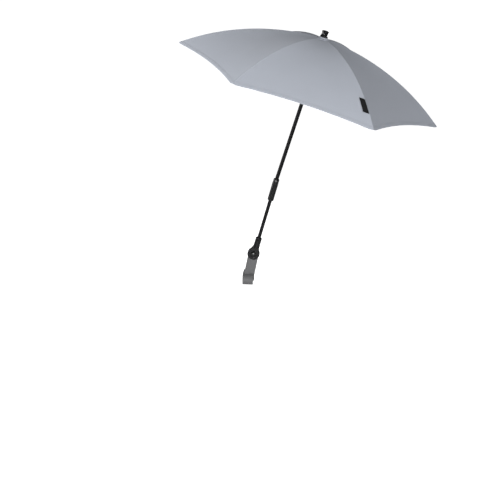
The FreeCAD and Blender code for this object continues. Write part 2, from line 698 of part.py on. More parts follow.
def make_bracket():
    """The grey upright and the hook that goes over the tube, with a leg for the screw."""
    wide, thick, wall = size("tab_wide"), size("tab_thick"), size("jaw_wall")
    inner = seat_radius() + size("pad_thick")
    rise = size("pivot_rise")
    lean = Rotation(V(0, 1, 0), size("bracket_lean"))
    tab = Part.makeBox(wide, thick, rise - inner, V(-wide / 2, -thick / 2, inner))
    top = Part.makeCylinder(wide / 2, thick, V(0, -thick / 2, rise), V(0, 1, 0))
    upright = tab.fuse(top)
    upright.Placement = Placement(V(0, 0, 0), lean)
    below = Part.makeBox(2 * rise, 2 * thick, rise, V(-rise, -thick, inner - rise))
    upright = upright.cut(below)
    hook = Part.makeCylinder(inner + wall, wide, V(-wide / 2, 0, 0), V(1, 0, 0))
    far = far_leg() + size("far_wall")
    roof = Part.makeBox(wide, far, wall, V(-wide / 2, 0, inner))
    leg = Part.makeBox(wide, size("far_wall"), inner + wall + size("far_reach"),
                       V(-wide / 2, far_leg(), -size("far_reach")))
    keep = Part.makeBox(wide, inner + wall, inner + wall + size("near_reach"),
                        V(-wide / 2, -inner - wall, -size("near_reach")))
    room = Part.makeCylinder(inner, wide, V(-wide / 2, 0, 0), V(1, 0, 0))
    slack = Part.makeBox(wide, far_leg(), inner + size("far_reach"), V(-wide / 2, 0, -size("far_reach")))
    body = hook.common(keep).fuse([roof, leg, upright]).cut([room, slack])
    nut = hex_nut(size("nut_flats"), size("insert_thick"), 0.1, V(0, far - size("insert_thick"), 0))
    hole = Part.makeCylinder(size("screw_radius") + size("run_gap"), far, V(0, far_leg(), 0), V(0, 1, 0))
    pivot = Part.makeCylinder(size("pivot_radius"), 2 * thick, lean.multVec(V(0, -thick, rise)), V(0, 1, 0))
    shape_node("bracket", body.cut([Part.makeCompound(nut.Solids), hole, pivot]).removeSplitter())
    insert = hex_nut(size("nut_flats"), size("insert_thick"), size("screw_radius") + size("run_gap"),
                     V(0, far - size("insert_thick"), 0))
    shape_node("clamp_nut", insert)


def pad_shape(start, end):
    """A rubber lining along the tube between two angles about X, from +Y towards +Z."""
    wide, radius = size("tab_wide"), seat_radius()
    face = Part.Face(Part.makePolygon([V(-wide / 2, radius, 0), V(wide / 2, radius, 0),
                                       V(wide / 2, radius + size("pad_thick"), 0),
                                       V(-wide / 2, radius + size("pad_thick"), 0), V(-wide / 2, radius, 0)]))
    face.rotate(V(0, 0, 0), V(1, 0, 0), start)
    return face.revolve(V(0, 0, 0), V(1, 0, 0), end - start)


def make_jaw():
    """The moving jaw with its lining, the screw that turns in it and the knob."""
    inner = seat_radius() + size("pad_thick")
    half, wide = size("jaw_half"), size("tab_wide")
    spread = math.degrees(math.asin(half / inner))
    slope = math.degrees(math.asin(size("near_reach") / inner))
    shape_node("seat_pad", pad_shape(90 + size("body_gap"), 180 + slope))
    back = inner + size("jaw_thick")
    block = Part.makeBox(wide, back, 2 * half, V(-wide / 2, 0, -half))
    room = Part.makeCylinder(inner, wide, V(-wide / 2, 0, 0), V(1, 0, 0))
    socket = Part.makeCylinder(size("screw_radius") + size("run_gap"), size("screw_seat"),
                               V(0, back - size("screw_seat"), 0), V(0, 1, 0))
    shape_node("clamp_jaw", block.cut([room, socket]).removeSplitter())
    shape_node("jaw_pad", pad_shape(-spread, spread))
    tip = back - size("screw_seat") + size("run_gap")
    far = far_leg() + size("far_wall")
    end = far + size("screw_free")
    shape_node("clamp_screw", Part.makeCylinder(size("screw_radius"), end - tip, V(0, tip, 0), V(0, 1, 0)))
    make_knob(end)


def make_knob(base):
    """A lobed knob on the screw's outer end."""
    radius, thick, lobe = size("knob_radius"), size("knob_thick"), size("knob_lobe")
    disc = Part.makeCylinder(radius - lobe / 2, thick, V(0, base - thick / 2, 0), V(0, 1, 0))
    lobes = []
    for number in range(RIBS):
        angle = 2 * math.pi * number / RIBS
        middle = V((radius - lobe) * math.cos(angle), base - thick / 2, (radius - lobe) * math.sin(angle))
        lobes.append(Part.makeCylinder(lobe, thick, middle, V(0, 1, 0)))
    knob = disc.fuse(lobes).removeSplitter()
    hole = Part.makeCylinder(size("screw_radius"), thick, V(0, base - thick, 0), V(0, 1, 0))
    rims = [edge for edge in knob.Edges if abs(abs(edge.CenterOfMass.y - base) - thick / 2) < 1e-3]
    shape_node("clamp_knob", knob.makeFillet(size("knob_round"), rims).cut(hole))


make_canopy()
make_label()
make_ribs()
make_crown()
make_runner()
make_ferrule()
make_shaft()
make_tang()
make_connector()
make_bend_pin()
make_rod()
make_knuckle()
make_pivot()
make_bracket()
make_jaw()

doc.recompute()
failed = [o.Label for o in doc.Objects if "Invalid" in o.State or "Error" in o.State]
failed += [o.Label for o in nodes if o.Shape.isNull() or not o.Shape.isValid()]
if failed:
    raise RuntimeError(f"not built: {failed}")
os.makedirs("parts", exist_ok=True)
for part in nodes:
    part.Shape.exportStep(f"parts/{part.Label}.step")
print(len(nodes), "sub-parts")
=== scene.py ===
import json
import math

import bpy
from mathutils import Matrix, Vector


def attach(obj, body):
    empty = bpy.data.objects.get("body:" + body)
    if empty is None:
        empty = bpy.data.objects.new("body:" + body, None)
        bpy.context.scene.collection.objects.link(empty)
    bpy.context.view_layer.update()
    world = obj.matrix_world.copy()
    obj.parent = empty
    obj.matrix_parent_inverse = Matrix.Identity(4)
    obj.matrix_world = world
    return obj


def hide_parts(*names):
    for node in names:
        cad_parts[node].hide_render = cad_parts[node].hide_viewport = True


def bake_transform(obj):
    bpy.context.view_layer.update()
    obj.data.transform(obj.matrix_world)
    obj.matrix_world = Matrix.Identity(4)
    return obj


# A pram parasol on its own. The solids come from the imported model. The cloth, the label and the ferrule are
# made here in place of theirs, and the corner pockets are added. All in metres, in the solids' frame.

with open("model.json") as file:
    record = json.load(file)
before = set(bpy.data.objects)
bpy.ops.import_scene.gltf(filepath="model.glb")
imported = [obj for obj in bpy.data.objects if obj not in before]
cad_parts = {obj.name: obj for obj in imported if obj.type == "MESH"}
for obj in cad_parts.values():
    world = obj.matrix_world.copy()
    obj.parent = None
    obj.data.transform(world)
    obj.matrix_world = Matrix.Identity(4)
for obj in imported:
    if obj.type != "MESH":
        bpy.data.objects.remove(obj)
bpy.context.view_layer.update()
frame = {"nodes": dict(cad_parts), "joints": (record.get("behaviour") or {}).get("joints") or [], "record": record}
JOINTS = {joint["name"]: joint for joint in frame["joints"]}

# Sizes shared with the solids
MM = 0.001
RIBS = 6
CANOPY_RADIUS = 345 * MM
CANOPY_DROP = 124.2 * MM
CANOPY_TOP = 6 * MM
CROWN_SLOPE = math.radians(1.5)
CLOTH = 0.8 * MM
CLOTH_HOLE = 9 * MM
HEM_DRAW = 15 * MM
PANEL_DIP = 6 * MM
SHAFT_LEAN = math.radians(17.45)
CROWN_HEIGHT = 586 * MM
BEND_HEIGHT = 207.3 * MM
LABEL_LONG = 44 * MM
LABEL_WIDE = 14 * MM
LABEL_RIB = 6
ROSETTE_RADIUS = 22 * MM
HALF_GORE = math.pi / RIBS

# The arc over a rib leaves the crown at a small slope, so its centre lies on the far side of the shaft
CHORD_SLOPE = math.atan2(CANOPY_DROP, CANOPY_RADIUS)
DOME = math.hypot(CANOPY_RADIUS, CANOPY_DROP) / (2 * math.sin(CHORD_SLOPE - CROWN_SLOPE))
DOME_BEHIND = DOME * math.sin(CROWN_SLOPE)
DOME_LOW = CANOPY_TOP - DOME * math.cos(CROWN_SLOPE)

HINGE = Vector(JOINTS["base_tilt"]["pos_m"])
BEND = Vector(JOINTS["connector_tilt"]["pos_m"])
UP_SHAFT = Matrix.Translation((0, 0, CROWN_HEIGHT - BEND_HEIGHT))
CROWN = Matrix.Translation(BEND) @ Matrix.Rotation(SHAFT_LEAN, 4, "Y") @ UP_SHAFT


def rib_frame(number):
    """The crown's frame with X out along a rib."""
    return CROWN @ Matrix.Rotation(2 * HALF_GORE * (number - 1), 4, "Z")


# Materials

EDGE_RADIUS = 1.0 * MM
EDGE_SAMPLES = 6
WEAVE_PITCH = 0.7 * MM
WEAVE_HEIGHT = 0.08 * MM
WEAVE_STRENGTH = 0.6
# Share of the cloth's colour left in the hollows between threads: painted shade
WEAVE_PAINTED_SHADE = 0.86
SLUB_SCALE = 900.0
SLUB_TONE = 0.03
SLUB_HEIGHT = 0.3
TONE_SCALE = 9.0
TONE_RANGE = (0.94, 1.04)
STITCH_PITCH = 3.2 * MM
STITCH_SHARE = 0.72
STITCH_HALF = 0.45 * MM
STITCH_RISE = 4.0
SEAM_STITCH = 2.6 * MM
HEM_STITCH = 7.4 * MM
GLOSS_SCALE = 45.0
GLOSS_GRAIN = 0.04
GRAIN_STRENGTH = 0.5
LIGHTER = 1.35
LIGHTER_LEAST = 0.001
LIGHTER_SHARE = 0.6

# Sockets of the mix node where it mixes colours
MIX_SHARE, MIX_FIRST, MIX_SECOND, MIX_RESULT = 0, 6, 7, 2


def set_inputs(node, values):
    for name, value in values.items():
        node.inputs[name].default_value = value


def new_material(name):
    material = bpy.data.materials.new(name)
    material.use_nodes = True
    nodes = material.node_tree.nodes
    return material, nodes, material.node_tree.links, nodes["Principled BSDF"]


def feed(links, socket, value):
    """Link a socket to another, or set it to a number or a colour."""
    if isinstance(value, bpy.types.NodeSocket):
        links.new(value, socket)
    else:
        socket.default_value = (*value, 1) if isinstance(value, tuple) else value


def math_node(nodes, links, operation, *values):
    node = nodes.new("ShaderNodeMath")
    node.operation = operation
    for socket, value in zip(node.inputs, values):
        feed(links, socket, value)
    return node.outputs[0]


def noise(nodes, links, vector, scale, detail):
    node = nodes.new("ShaderNodeTexNoise")
    set_inputs(node, {"Scale": scale, "Detail": detail})
    links.new(vector, node.inputs["Vector"])
    return node.outputs["Fac"]


def ramp(nodes, links, value, low, high):
    """Map 0..1 to a range."""
    node = nodes.new("ShaderNodeMapRange")
    set_inputs(node, {"To Min": low, "To Max": high})
    links.new(value, node.inputs["Value"])
    return node.outputs["Result"]


def mix_colour(nodes, links, share, first, second):
    node = nodes.new("ShaderNodeMix")
    node.data_type = "RGBA"
    for socket, value in ((MIX_SHARE, share), (MIX_FIRST, first), (MIX_SECOND, second)):
        feed(links, node.inputs[socket], value)
    return node.outputs[MIX_RESULT]


def bump(nodes, links, shader, height, distance, strength):
    node = nodes.new("ShaderNodeBump")
    set_inputs(node, {"Distance": distance, "Strength": strength})
    links.new(height, node.inputs["Height"])
    links.new(node.outputs["Normal"], shader.inputs["Normal"])
    return node


def round_edges(nodes, links, bump_node):
    """Shade sharp edges as if they had a small radius."""
    node = nodes.new("ShaderNodeBevel")
    node.samples = EDGE_SAMPLES
    set_inputs(node, {"Radius": EDGE_RADIUS})
    links.new(node.outputs["Normal"], bump_node.inputs["Normal"])


def stripes(nodes, links, coordinate, pitch):
    """A smooth 0..1 wave along one coordinate."""
    angle = math_node(nodes, links, "MULTIPLY", coordinate, 2 * math.pi / pitch)
    wave = math_node(nodes, links, "SINE", angle)
    return math_node(nodes, links, "MULTIPLY_ADD", wave, 0.5, 0.5)


def uv_axes(nodes, links, name):
    """A map, and its two axes."""
    uv = nodes.new("ShaderNodeUVMap")
    uv.uv_map = name
    split = nodes.new("ShaderNodeSeparateXYZ")
    links.new(uv.outputs["UV"], split.inputs[0])
    return uv.outputs["UV"], split.outputs["X"], split.outputs["Y"]


def stitch_line(nodes, links, distance, run, at):
    """A dashed row of thread at a distance from an edge."""
    off = math_node(nodes, links, "SUBTRACT", distance, at)
    near = math_node(nodes, links, "LESS_THAN", math_node(nodes, links, "ABSOLUTE", off), STITCH_HALF)
    share = math_node(nodes, links, "FRACT", math_node(nodes, links, "DIVIDE", run, STITCH_PITCH))
    dash = math_node(nodes, links, "LESS_THAN", share, STITCH_SHARE)
    return math_node(nodes, links, "MULTIPLY", near, dash)


def cloth_material(name, colour, sheen, thread=None):
    """Woven cloth, painted darker in the hollows between its threads as painted shade. The weave map is in metres;
    the edge map holds distances from the seam and the hem.
    """
    material, nodes, links, shader = new_material(name)
    weave, along, across = uv_axes(nodes, links, "weave")
    warp = stripes(nodes, links, along, WEAVE_PITCH)
    weft = stripes(nodes, links, across, WEAVE_PITCH)
    cells = math_node(nodes, links, "MULTIPLY", warp, weft)
    slub = noise(nodes, links, weave, SLUB_SCALE, detail=2.0)
    tone = noise(nodes, links, weave, TONE_SCALE, detail=4.0)
    shade = math_node(nodes, links, "ADD", ramp(nodes, links, tone, *TONE_RANGE),
                      ramp(nodes, links, slub, -SLUB_TONE, SLUB_TONE))
    # Painted shade: the weave is darker where its threads dip, in the hollows that the bump below gives their
    # shape
    painted_gap_shade = tuple(WEAVE_PAINTED_SHADE * c for c in colour)
    base = mix_colour(nodes, links, cells, painted_gap_shade, colour)
    scale = nodes.new("ShaderNodeVectorMath")
    scale.operation = "SCALE"
    links.new(base, scale.inputs[0])
    links.new(shade, scale.inputs["Scale"])
    paint = scale.outputs[0]
    height = math_node(nodes, links, "ADD", cells, ramp(nodes, links, slub, -SLUB_HEIGHT, SLUB_HEIGHT))
    if thread:
        _, seam, hem = uv_axes(nodes, links, "edge")
        rows = math_node(nodes, links, "ADD", stitch_line(nodes, links, seam, along, SEAM_STITCH),
                         stitch_line(nodes, links, hem, across, HEM_STITCH))
        paint = mix_colour(nodes, links, rows, paint, thread)
        raised = math_node(nodes, links, "MULTIPLY", rows, STITCH_RISE)
        height = math_node(nodes, links, "ADD", height, raised)
    links.new(paint, shader.inputs["Base Color"])
    bump(nodes, links, shader, height, WEAVE_HEIGHT, WEAVE_STRENGTH)
    set_inputs(shader, {"Roughness": 0.72, "Specular IOR Level": 0.2, "Sheen Weight": sheen,
                        "Sheen Roughness": 0.45})
    return material


def hard_material(name, colour, rough, metallic=0.0, grain=0.03 * MM, grain_scale=1400.0, spread=0.12,
                  shine=0.3):
    """Moulded, painted or plated surface with a fine grain and uneven gloss."""
    material, nodes, links, shader = new_material(name)
    place = nodes.new("ShaderNodeTexCoord").outputs["Object"]
    fine = noise(nodes, links, place, grain_scale, detail=3.0)
    broad = noise(nodes, links, place, GLOSS_SCALE, detail=4.0)
    lighter = tuple(min(1.0, c * LIGHTER + LIGHTER_LEAST) for c in colour)
    paint = mix_colour(nodes, links, ramp(nodes, links, broad, 0.0, LIGHTER_SHARE), colour, lighter)
    links.new(paint, shader.inputs["Base Color"])
    gloss = math_node(nodes, links, "ADD", ramp(nodes, links, broad, rough - spread / 2, rough + spread / 2),
                      ramp(nodes, links, fine, -GLOSS_GRAIN, GLOSS_GRAIN))
    links.new(gloss, shader.inputs["Roughness"])
    set_inputs(shader, {"Metallic": metallic, "Specular IOR Level": shine})
    round_edges(nodes, links, bump(nodes, links, shader, fine, grain, GRAIN_STRENGTH))
    return material


FINE_GRAIN = 0.002 * MM

# One for each slot, and one each for two pieces that look different from the rest of their slot
MATERIALS = {
    "canopy_cloth": cloth_material("CanopyCloth", (0.418, 0.443, 0.497), 0.08, (0.37, 0.392, 0.442)),
    "label_cloth": cloth_material("LabelTape", (0.007, 0.007, 0.008), 0.01),
    "black_plastic": hard_material("BlackPlastic", (0.004, 0.004, 0.0044), 0.25, shine=0.2),
    "black_tube": hard_material("BlackPaint", (0.005, 0.005, 0.0054), 0.34, grain=0.012 * MM, shine=0.04),
    "rod_steel": hard_material("RodPaint", (0.006, 0.006, 0.0066), 0.16, grain=FINE_GRAIN, spread=0.04,
                               shine=0.1),
    "fastener_steel": hard_material("PlatedSteel", (0.6, 0.6, 0.62), 0.3, 1.0, grain=0.01 * MM),
    "grey_plastic": hard_material("GreyPlastic", (0.075, 0.075, 0.077), 0.55),
    "pad_rubber": hard_material("PadRubber", (0.022, 0.022, 0.022), 0.72, grain=0.06 * MM,
                                grain_scale=700.0),
    "pivot_bolt": hard_material("PivotPolish", (0.006, 0.006, 0.006), 0.2, grain=FINE_GRAIN, spread=0.04,
                                shine=0.6),
    "connector_pin": hard_material("PinSteel", (0.045, 0.045, 0.046), 0.3, grain=FINE_GRAIN, shine=0.5),
}


def dress_solids():
    """Give each solid a material of its own where there is one, or else its slot's."""
    for part in frame["record"]["subparts"]:
        solid = frame["nodes"][part["node"]]
        solid.data.materials.clear()
        solid.data.materials.append(MATERIALS.get(part["node"], MATERIALS[part["material_slot"]]))


# Cloth: the scene rounds the hem's corners, and adds a small sag that is greatest halfway out

CORNER_BLUNT = 3.0 * MM
CORNER_WIDE = 13.4 * MM
CORNER_FADE = 12
PANEL_SAG = 2 * MM


def dome_height(out):
    """Height of the cloth's outer face over a rib, from the crown."""
    return DOME_LOW + math.sqrt(DOME ** 2 - (out + DOME_BEHIND) ** 2)


def dome_angle(out):
    """The dome's slope over a rib."""
    return math.asin((out + DOME_BEHIND) / DOME)


def corner_blunt(beside):
    """How far the hem's rounded corner stays back, at a distance beside a rib."""
    return CORNER_BLUNT * max(0.0, 1 - beside / CORNER_WIDE) ** 2


def panel_point(out, across):
    """The outer face beside a rib, by the distance out and the share across from the rib to the crease."""
    belly = across * (2 - across)
    along = (out - CLOTH_HOLE) / (CANOPY_RADIUS - CLOTH_HOLE - HEM_DRAW * belly)
    chord = out * math.cos(HALF_GORE)
    x = out * (1 - across) + chord * math.cos(HALF_GORE) * across
    y = chord * math.sin(HALF_GORE) * across
    sag = PANEL_DIP * along + PANEL_SAG * 4 * along * (1 - along)
    return Vector((x, y, dome_height(out) - sag * belly))


def cloth_point(along, across):
    """The outer face by shares: along runs from the hole to the hem, across from the rib to the crease."""
    draw = HEM_DRAW * across * (2 - across)
    blunt = corner_blunt(CANOPY_RADIUS * math.sin(HALF_GORE) * across) * along ** CORNER_FADE
    return panel_point(CLOTH_HOLE + along * (CANOPY_RADIUS - CLOTH_HOLE - draw - blunt), across)


def cloth_normal(along, across):
    step = 1e-3
    ahead = cloth_point(min(along + step, 1.0), across) - cloth_point(max(along - step, 0.0), across)
    aside = cloth_point(along, min(across + step, 1.0)) - cloth_point(along, max(across - step, 0.0))
    return ahead.cross(aside).normalized()


def half_width(along):
    """Distance from the rib to the crease."""
    return (CLOTH_HOLE + along * (CANOPY_RADIUS - CLOTH_HOLE)) * math.sin(HALF_GORE)


# Heights and widths of the seam, the hem and the gathers beside them
SEAM_RIDGE = 0.18 * MM
SEAM_RIDGE_WIDE = 1.9 * MM
SEAM_FURROW = 0.05 * MM
SEAM_FURROW_WIDE = 0.5 * MM
HEM_THICK = 0.4 * MM
HEM_WIDE = 10.0 * MM
HEM_STEP = 0.8 * MM
HEM_ROUND = 1.2 * MM
HEM_FURROW = 0.16 * MM
HEM_FURROW_WIDE = 0.6 * MM
SEAM_GATHER = 0.16 * MM
SEAM_GATHER_REACH = 13 * MM
SEAM_GATHER_CLEAR = 4 * MM
HEM_GATHER = 0.18 * MM
HEM_GATHER_REACH = 12 * MM
HEM_GATHER_CLEAR = 9 * MM
CREASE_FADE = 6

# Each gather's wave: the run for one radian, how far the wave drifts, and the run for one radian of drift
SEAM_WAVE = (7.5 * MM, 1.3, 31 * MM)
HEM_WAVE = (6.0 * MM, 0.9, 23 * MM)

# The grid: close steps in millimetres from the seam and from the hem, the largest share of the width that the
# seam's steps take, and how many steps take up the rest
SEAM_STEPS = [0.0, 0.6, 1.2, 1.9, 2.3, 2.6, 2.9, 3.4, 4.4]
HEM_STEPS = [0.0, 0.5, 1.2, 3.0, 6.6, 7.4, 8.2, 9.6, 10.2, 11.2]
SEAM_SHARE = 0.5
ALONG_STEPS = 64
ACROSS_STEPS = 26


def seam_lift(distance):
    """Height of the seam over a rib: a soft ridge, with a furrow at its row of thread."""
    ridge = SEAM_RIDGE * math.exp(-(distance / SEAM_RIDGE_WIDE) ** 2)
    furrow = SEAM_FURROW * math.exp(-((distance - SEAM_STITCH) / SEAM_FURROW_WIDE) ** 2)
    return ridge - furrow


def hem_lift(distance):
    """Height of the folded hem, round at its edge, with a furrow at its row of thread."""
    flat = HEM_THICK * max(0.0, min(1.0, (HEM_WIDE - distance) / HEM_STEP))
    edge = HEM_THICK * max(0.0, 1 - distance / HEM_ROUND) ** 2
    furrow = HEM_FURROW * math.exp(-((distance - HEM_STITCH) / HEM_FURROW_WIDE) ** 2)
    return flat - edge - furrow


def uneven_wave(run, pitch, drift, drift_pitch):
    return math.sin(run / pitch + drift * math.sin(run / drift_pitch))


def pucker(seam, hem, run, across):
    """Small gathers that the thread pulls beside the seam and the hem, and none at the crease."""
    by_seam = uneven_wave(run, *SEAM_WAVE) * math.exp(-seam / SEAM_GATHER_REACH)
    by_hem = uneven_wave(seam, *HEM_WAVE) * math.exp(-hem / HEM_GATHER_REACH)
    fade = min(1.0, seam / HEM_GATHER_CLEAR) * (1 - across ** CREASE_FADE)
    return SEAM_GATHER * by_seam * min(1.0, seam / SEAM_GATHER_CLEAR) + HEM_GATHER * by_hem * fade


def mesh_object(name, points, faces, maps, material):
    mesh = bpy.data.meshes.new(name)
    mesh.from_pydata([tuple(p) for p in points], [], faces)
    for map_name, values in maps.items():
        layer = mesh.uv_layers.new(name=map_name)
        for loop in mesh.loops:
            layer.data[loop.index].uv = values[loop.vertex_index]
    for polygon in mesh.polygons:
        polygon.use_smooth = True
    mesh.materials.append(material)
    obj = bpy.data.objects.new(name, mesh)
    bpy.context.scene.collection.objects.link(obj)
    return obj


def grid_faces(rows, columns, flip):
    """Quads of a sheet whose points are listed row by row."""
    faces = []
    for i in range(rows - 1):
        for j in range(columns - 1):
            a = i * columns + j
            quad = (a, a + columns, a + columns + 1, a + 1)
            faces.append(quad[::-1] if flip else quad)
    return faces


def ring_faces(rings, turns, flip):
    """Quads of a round piece whose points are listed ring by ring."""
    faces = []
    for i in range(rings - 1):
        for j in range(turns):
            a, b = i * turns + j, i * turns + (j + 1) % turns
            faces.append((a, b, b + turns, a + turns) if flip else (a, a + turns, b + turns, b))
    return faces


def sharpen_border(obj):
    """Keep the rim's shading apart from the face's, so that two sheets that meet show no line."""
    uses = {}
    for polygon in obj.data.polygons:
        for key in polygon.edge_keys:
            uses[key] = uses.get(key, 0) + 1
    for edge in obj.data.edges:
        edge.use_edge_sharp = uses[edge.key] == 1


def thicken(obj, thickness):
    """Add the thickness behind the face that was made."""
    sharpen_border(obj)
    solid = obj.modifiers.new("thickness", "SOLIDIFY")
    solid.thickness = thickness
    solid.offset = -1.0


def gore_grid():
    """Places on a half gore: closer together along the seam and the hem."""
    long = DOME * (dome_angle(CANOPY_RADIUS) - dome_angle(CLOTH_HOLE))
    alongs = [1 - step * MM / long for step in HEM_STEPS]
    last = alongs[-1]
    alongs += [last * (1 - (i + 1) / ALONG_STEPS) for i in range(ALONG_STEPS)]
    grid = []
    for along in alongs:
        width = half_width(along)
        near = [min(step * MM / width, SEAM_SHARE * k / len(SEAM_STEPS)) for k, step in enumerate(SEAM_STEPS)]
        rest = [near[-1] + (1 - near[-1]) * (j + 1) / ACROSS_STEPS for j in range(ACROSS_STEPS)]
        grid.append([(along, across, across * width, (1 - along) * long) for across in near + rest])
    return grid, long


GORE_GRID, GORE_LONG = gore_grid()


def make_half_gore(number, side_name, side):
    """Half a gore, from the seam on its rib to the crease in the middle of the gore."""
    place = rib_frame(number)
    points, weave, edge = [], [], []
    for row in GORE_GRID:
        for along, across, seam, hem in row:
            lift = seam_lift(seam) + hem_lift(hem) + pucker(seam, hem, GORE_LONG - hem, across)
            point = cloth_point(along, across) + cloth_normal(along, across) * lift
            points.append(place @ Vector((point.x, point.y * side, point.z)))
            weave.append((GORE_LONG - hem, seam))
            edge.append((seam, hem))
    faces = grid_faces(len(GORE_GRID), len(GORE_GRID[0]), side > 0)
    name = f"gore_{side_name}_{number}"
    cloth = mesh_object(name, points, faces, {"weave": weave, "edge": edge}, MATERIALS["canopy_cloth"])
    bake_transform(cloth)
    thicken(cloth, CLOTH)
    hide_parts(f"canopy_{side_name}_{number}")


POCKET_LONG = 28 * MM
POCKET_WIDE = 8 * MM
POCKET_DEEP = 6.9 * MM
POCKET_WAVE = 0.35 * MM
POCKET_WAVE_RATE = 9
POCKET_MOUTH = 1.05
POCKET_TAPER = 0.2
POCKET_SUNK = 0.7 * CLOTH
POCKET_ROUND = 2.4
POCKET_CROWD = 1.6
POCKET_CLOSE = 4 * MM
POCKET_BACK = 1.3 * MM
POCKET_CLOTH = 0.5 * MM

# How far the hem runs back for each step beside a rib, and a place in the edge map away from all stitches
HEM_SLOPE = 0.78
NO_EDGE = (50 * MM, 50 * MM)


def corner_point(back, side):
    """A place on the cloth beside a rib, at a distance back from the hem, and the way out of the cloth."""
    hem = CANOPY_RADIUS - corner_blunt(abs(side) / math.cos(HALF_GORE)) - HEM_SLOPE * abs(side)
    foot = hem - back + abs(side) * math.tan(HALF_GORE)
    across = abs(side) / (foot * math.cos(HALF_GORE) * math.sin(HALF_GORE))
    along = (foot - CLOTH_HOLE) / (CANOPY_RADIUS - CLOTH_HOLE - HEM_DRAW * across * (2 - across))
    point, normal = panel_point(foot, across), cloth_normal(along, across)
    turn = Vector((1, math.copysign(1, side), 1))
    return point * turn, normal * turn


def make_pocket(number):
    """The pocket under a corner that the rib's tip sits in: closed over the tip, open towards the crown."""
    place = rib_frame(number)
    rows, columns = 22, 17
    points, weave = [], []
    for i in range(rows):
        u = 1 - (1 - i / (rows - 1)) ** POCKET_CROWD
        closing = max(0.0, 1 - POCKET_LONG * (1 - u) / POCKET_CLOSE)
        deep = (POCKET_DEEP + POCKET_WAVE * math.cos(POCKET_WAVE_RATE * u)) * math.sqrt(1 - closing ** 2)
        wide = POCKET_WIDE * (POCKET_MOUTH - POCKET_TAPER * u)
        for j in range(columns):
            v = 2 * j / (columns - 1) - 1
            point, normal = corner_point(POCKET_BACK + POCKET_LONG * (1 - u), v * wide)
            under = POCKET_SUNK + max(deep - CLOTH, 0.0) * (1 - abs(v) ** POCKET_ROUND)
            points.append(place @ (point - normal * under))
            weave.append((u * POCKET_LONG, v * wide))
    pocket = mesh_object(f"pocket_{number}", points, grid_faces(rows, columns, True),
                         {"weave": weave, "edge": [NO_EDGE] * len(points)}, MATERIALS["canopy_cloth"])
    thicken(pocket, POCKET_CLOTH)
    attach(pocket, f"rib_{number}")


ROSETTE_HOLE = 3.2 * MM
ROSETTE_RISE = 2.6 * MM
ROSETTE_NECK = 9.5 * MM
ROSETTE_SKIRT = 14 * MM
ROSETTE_LIFT = 0.75 * MM
ROSETTE_SETTLE = 0.6 * MM
ROSETTE_CLOTH = 0.6 * MM
ROSETTE_TEETH = 36
ROSETTE_TOOTH = 0.012


def rosette_rise(radius):
    """The patch is gathered up under the ferrule: its height there over the canopy."""
    share = max(0.0, min(1.0, (ROSETTE_SKIRT - radius) / (ROSETTE_SKIRT - ROSETTE_NECK)))
    return ROSETTE_RISE * share * share * (3 - 2 * share)


def make_rosette():
    """The round patch under the ferrule, with a pinked edge."""
    rings, turns = 10, 144
    points, weave = [], []
    for i in range(rings):
        share = i / (rings - 1)
        for j in range(turns):
            angle = 2 * math.pi * j / turns
            radius = ROSETTE_HOLE + share * (ROSETTE_RADIUS - ROSETTE_HOLE)
            radius *= 1 + ROSETTE_TOOTH * share * math.cos(ROSETTE_TEETH * angle)
            height = dome_height(radius) + ROSETTE_LIFT - ROSETTE_SETTLE * share ** 2 + rosette_rise(radius)
            points.append(CROWN @ Vector((radius * math.cos(angle), radius * math.sin(angle), height)))
            weave.append((radius * math.cos(angle), radius * math.sin(angle)))
    patch = mesh_object("rosette_patch", points, ring_faces(rings, turns, False),
                        {"weave": weave, "edge": [NO_EDGE] * len(points)}, MATERIALS["canopy_cloth"])
    thicken(patch, ROSETTE_CLOTH)
    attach(patch, "upper_shaft")
    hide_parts("rosette")


LABEL_START = 268 * MM
LABEL_BESIDE = 0.01
LABEL_LIFT = 1.05 * MM
LABEL_BULGE = 0.25 * MM
LABEL_TUCK = 0.35 * MM
LABEL_TUCK_RATE = 14
LABEL_CLOTH = 0.5 * MM


def make_label():
    """A plain tape sewn on along the seam of one rib; its face is bare."""
    place = rib_frame(LABEL_RIB)
    reach = CANOPY_RADIUS - CLOTH_HOLE
    start = (LABEL_START - CLOTH_HOLE) / reach
    end = start + LABEL_LONG * math.cos(dome_angle(LABEL_START)) / reach
    width = LABEL_START * math.sin(HALF_GORE)
    rows, columns = 24, 10
    points, weave = [], []
    for i in range(rows):
        u = i / (rows - 1)
        along = start + (end - start) * u
        for j in range(columns):
            v = j / (columns - 1)
            across = LABEL_BESIDE + v * (LABEL_WIDE / width - LABEL_BESIDE)
            tuck = LABEL_TUCK * (math.exp(-u * LABEL_TUCK_RATE) + math.exp(-(1 - u) * LABEL_TUCK_RATE))
            lift = LABEL_LIFT + LABEL_BULGE * math.sin(math.pi * v) - tuck
            point = cloth_point(along, across) + cloth_normal(along, across) * lift
            points.append(place @ Vector((point.x, -point.y, point.z)))
            weave.append((u * LABEL_LONG, v * LABEL_WIDE))
    tape = mesh_object("label_tape", points, grid_faces(rows, columns, False), {"weave": weave},
                       MATERIALS["label_cloth"])
    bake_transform(tape)
    thicken(tape, LABEL_CLOTH)
    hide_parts("label")


# Ferrule

FERRULE_GAP = 0.1 * MM
FERRULE_BASE_HEIGHT = CANOPY_TOP + CLOTH + FERRULE_GAP + ROSETTE_RISE
FERRULE_SHARP = math.radians(50)
FLUTES = 12
FLUTE_DEPTH = 0.045

# Radius and height in millimetres, from the foot of the stem to the top. The least radius, and the foot and
# length of the flutes, are in millimetres too.
FERRULE_PROFILE = [(0.0, -16.0), (3.8, -16.0), (3.8, 0.0), (9.9, 0.0), (10.4, 0.4), (10.4, 1.2), (9.9, 2.2),
                   (8.9, 3.6), (8.35, 5.4), (8.1, 7.6), (8.2, 10.2), (8.5, 12.2), (8.9, 13.4), (8.9, 14.2),
                   (8.4, 15.0), (6.6, 15.7), (4.2, 16.2), (0.0, 16.5)]
FERRULE_LEAST = 0.02
FLUTE_FOOT = 2.0
FLUTE_LONG = 11.6


